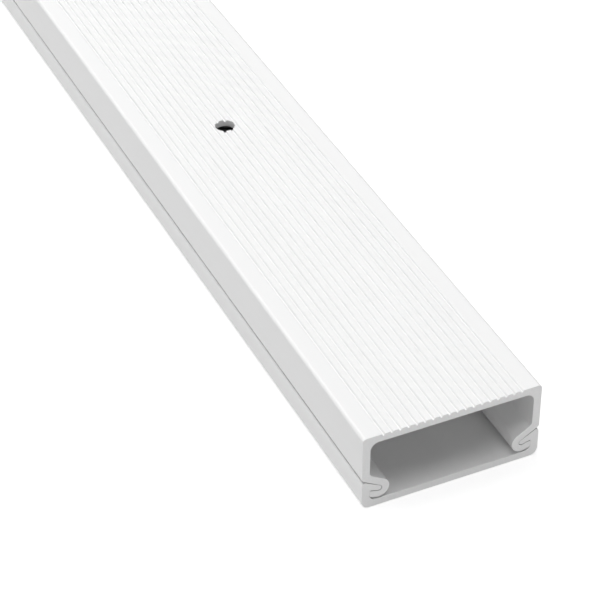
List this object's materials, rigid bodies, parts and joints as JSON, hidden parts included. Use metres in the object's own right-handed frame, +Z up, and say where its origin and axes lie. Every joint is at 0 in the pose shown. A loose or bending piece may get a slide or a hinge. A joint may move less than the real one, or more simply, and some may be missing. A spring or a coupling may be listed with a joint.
{
  "type": "cord cover raceway",
  "caption": "Straight cord raceway in two snap-together lengths: a grooved back channel with screw holes and inward hooks, and a low cover whose tongues sit in the hooks.",
  "frame": {"origin": "middle of the underside of the cover, in the middle of the length and of the width", "axes": "+X along the stock, +Y across it, +Z up from the cover to the grooved back"},
  "size_m": [1, 0.035, 0.016],
  "materials": {
    "white_pvc": "satin"
  },
  "bodies": {
    "base": {"base_channel": "white_pvc"},
    "cover": {"snap_cover": "white_pvc"}
  },
  "joints": [
    {"name": "cover_slide", "type": "slide", "parent": "base", "child": "cover", "axis": [1, 0, 0], "range_m": [-1, 1]}
  ]
}
